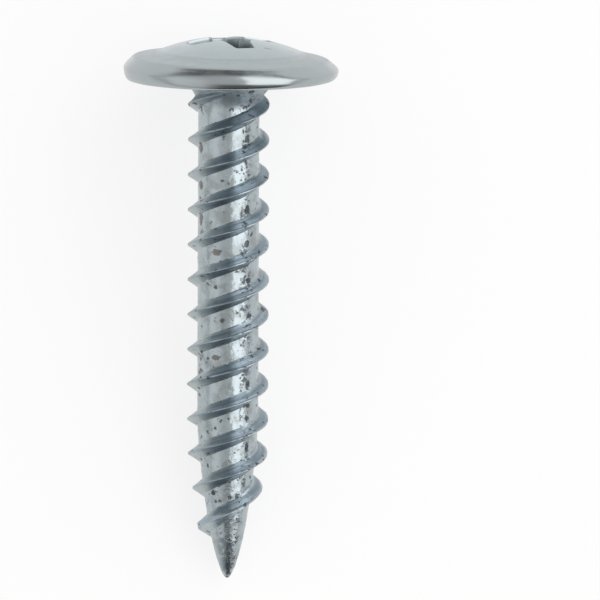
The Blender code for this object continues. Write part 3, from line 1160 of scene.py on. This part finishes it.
def leaned(places):
    """Lean the head by a shade and shift it, less and less down the neck."""
    share = np.clip((places[:, 2] + LEAN_LENGTH) / LEAN_LENGTH, 0.0, 1.0)
    share = share * share * (3.0 - 2.0 * share)
    lean = LEAN * share
    x = places[:, 0] * np.cos(lean) + places[:, 2] * np.sin(lean) + OFF_CENTRE * share
    z = places[:, 2] * np.cos(lean) - places[:, 0] * np.sin(lean)
    places[:, 0], places[:, 2] = x, z


def lay_down(screw):
    """Wear the mesh, then turn it from its own axes into the frame."""
    mesh = screw.data
    count = len(mesh.vertices)
    places = np.empty(count * 3)
    mesh.vertices.foreach_get("co", places)
    mesh.attributes.new("own", "FLOAT_VECTOR", "POINT").data.foreach_set("vector", places)
    places = places.reshape(count, 3)
    worn_rim(places)
    leaned(places)
    mesh.vertices.foreach_set("co", places.ravel())
    mesh.transform(pose @ Matrix.Scale(MM, 4))
    mesh.update()


lay_down(screw)
screw.data.materials.clear()
screw.data.materials.append(finish)
screw.data.shade_smooth()
screw.data.set_sharp_from_angle(angle=SHARP_ANGLE)
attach(screw, "root")
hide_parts("truss_head_screw")
lowest = min(vert.co.z for vert in screw.data.vertices)
print(f"The lowest point lies {lowest / MM:.3f} mm above the frame's floor")

# %% [markdown]
# ## Floor
#
# The screw lies on plain pale paper. To make the paper white, more light could fall on it,
# but that light would wash out the metal too. Here its own colour stays plain and keeps the
# screw's shadow, and a share of white is mixed in only for what the camera sees, directly
# or mirrored in the metal.

# %% Floor
FLOOR_REACH = 2.0
PAPER = (0.95, 0.95, 0.95, 1.0)
PAPER_GLOW = 0.78


def pale_paper():
    """Matt paper that the camera sees nearly white."""
    material = bpy.data.materials.new("pale_paper")
    material.use_nodes = True
    tree = material.node_tree
    shader = tree.nodes["Principled BSDF"]
    shader.inputs["Base Color"].default_value = PAPER
    shader.inputs["Roughness"].default_value = 1.0
    shader.inputs["Specular IOR Level"].default_value = 0.0
    path = node(tree, "ShaderNodeLightPath").outputs
    seen = Value(tree, path["Is Camera Ray"])
    for ray in ("Is Glossy Ray", "Is Transmission Ray"):
        seen = seen.math("MAXIMUM", path[ray])
    white = node(tree, "ShaderNodeEmission").outputs[0]
    inputs = {0: seen * PAPER_GLOW, 1: shader.outputs[0], 2: white}
    both = node(tree, "ShaderNodeMixShader", inputs).outputs[0]
    tree.links.new(both, tree.nodes["Material Output"].inputs["Surface"])
    return material


def pale_floor(level):
    """A wide pale sheet at the height of the screw's lowest point."""
    far = FLOOR_REACH
    corners = [(-far, -far, level), (far, -far, level), (far, far, level), (-far, far, level)]
    data = bpy.data.meshes.new("floor")
    data.from_pydata(corners, [], [(0, 1, 2, 3)])
    floor = linked("floor", data)
    floor.data.materials.append(pale_paper())
    return floor


floor = pale_floor(lowest)
print(f"The floor is {2.0 * FLOOR_REACH:.0f} m wide")

# %% [markdown]
# ## Light
#
# Bright metal shows what stands round it more than the light that falls on it. With a
# lamp alone, most of the screw would mirror a black room. So there is one long soft lamp
# at the right, and a studio all round: a pale sky that is brighter at the left, over walls
# that are pale at the sides and dim past the head and the point. The dim walls give the
# metal something dark to mirror beside the bright, which makes its form easy to read.

# %% Lamp
LAMP_DIRECTION = (0.72, 0.0, 0.70)
LAMP_DISTANCE = 0.6
LAMP_WIDTH = 0.62
LAMP_LENGTH = 2.4
LAMP_POWER = 5.5
LAMP_SHIFT = 0.76  # along the screw, towards the head, once the lamp is aimed


def soft_lamp(name):
    """A rectangular lamp that faces the screw."""
    data = bpy.data.lights.new(name, "AREA")
    data.shape = "RECTANGLE"
    data.size = LAMP_WIDTH
    data.size_y = LAMP_LENGTH
    data.energy = LAMP_POWER
    lamp = linked(name, data)
    towards = Vector(LAMP_DIRECTION).normalized()
    side = Vector((0.0, 1.0, 0.0))
    across = side.cross(towards).normalized()
    up = towards.cross(across)
    lamp.matrix_world = axes_at(across, up, towards, towards * LAMP_DISTANCE)
    lamp.location.y += LAMP_SHIFT
    return lamp


soft_right = soft_lamp("soft_right")
print(f"The lamp is {LAMP_WIDTH} by {LAMP_LENGTH} m and gives {LAMP_POWER} W")

# %% Studio
SKY = 0.70
SKY_LEFT = 0.30
SKY_LEFT_EDGE = (0.25, 0.8)
WALL = 0.09
WALL_SIDES = 0.60
FAR_SIDES = (0.33, 0.75)
NEAR_SIDES = (0.22, 0.75)
NEAR_SHIFT = 0.2
NEAR_EDGE = (-0.1, 0.1)
WALL_TOP = (0.17, 0.32)
DIM_EDGE = (0.5, 0.72)
DIM_SHARE = 0.8


def studio_sky():
    """A pale sky over dim walls, brighter at the left, and dimmest past the point."""
    world = bpy.data.worlds.new("studio")
    bpy.context.scene.world = world
    world.use_nodes = True
    tree = world.node_tree
    across, along, up = split(tree, node(tree, "ShaderNodeTexCoord").outputs["Generated"])
    sky = (-across).ease(*SKY_LEFT_EDGE) * SKY_LEFT + SKY
    beside_far = across.math("ABSOLUTE").ease(*FAR_SIDES)
    beside_near = (across - NEAR_SHIFT).math("ABSOLUTE").ease(*NEAR_SIDES)
    near = (-along).ease(*NEAR_EDGE)
    beside = beside_far + (beside_near - beside_far) * near
    walls = beside * WALL_SIDES + WALL
    level = walls + (sky - walls) * up.ease(*WALL_TOP)
    past_point = (-along).ease(*DIM_EDGE) * (-beside_near + 1.0)
    level = level * (-(past_point * DIM_SHARE) + 1.0)
    background = tree.nodes["Background"]
    tree.links.new(level.socket, background.inputs["Strength"])
    background.inputs["Color"].default_value = (1.0, 1.0, 1.0, 1.0)
    return world


studio = studio_sky()
print(f"The world {studio.name} has {len(studio.node_tree.nodes)} nodes")

# %% [markdown]
# ## Camera
#
# The photograph shows the screw upright, from about 8 degrees above square-on, and with
# hardly any perspective, as a long lens does from far away. The screw lies, so the camera
# looks down on it instead, with the head at the top of the picture. A short lens close by
# would show the head larger than it is against the point.

# %% Camera
CAMERA_DISTANCE = 0.5
PIXEL = 0.0511 * MM  # width of a pixel of the picture on the screw
PICTURE = 600
VIEW_RISE = math.radians(8.1)
ROLL = math.radians(0.27)
WATCHED_DEPTH = 11.404 * MM
WATCHED_RIGHT = 71.9
SENSOR = 36.0


def photo_camera():
    """A long lens that looks down on the lying screw, at the photograph's angle."""
    rise = VIEW_RISE - tilt
    back = Vector((0.0, math.sin(rise), math.cos(rise)))
    up = Vector((0.0, math.cos(rise), -math.sin(rise)))
    right = Vector((1.0, 0.0, 0.0))
    roll = Matrix.Rotation(ROLL, 3, back)
    right, up = roll @ right, roll @ up
    watched = bearing_centre - to_head * WATCHED_DEPTH + right * (WATCHED_RIGHT * PIXEL)

    data = bpy.data.cameras.new("camera")
    data.sensor_width = SENSOR
    data.lens = data.sensor_width * CAMERA_DISTANCE / (PICTURE * PIXEL)
    data.clip_start = 0.01
    data.clip_end = 20.0
    camera = linked("camera", data)
    camera.matrix_world = axes_at(right, up, back, watched + back * CAMERA_DISTANCE)
    bpy.context.scene.camera = camera
    return camera


camera = photo_camera()
bpy.context.scene.view_settings.view_transform = "Standard"
print(f"The lens is {camera.data.lens:.0f} mm long")
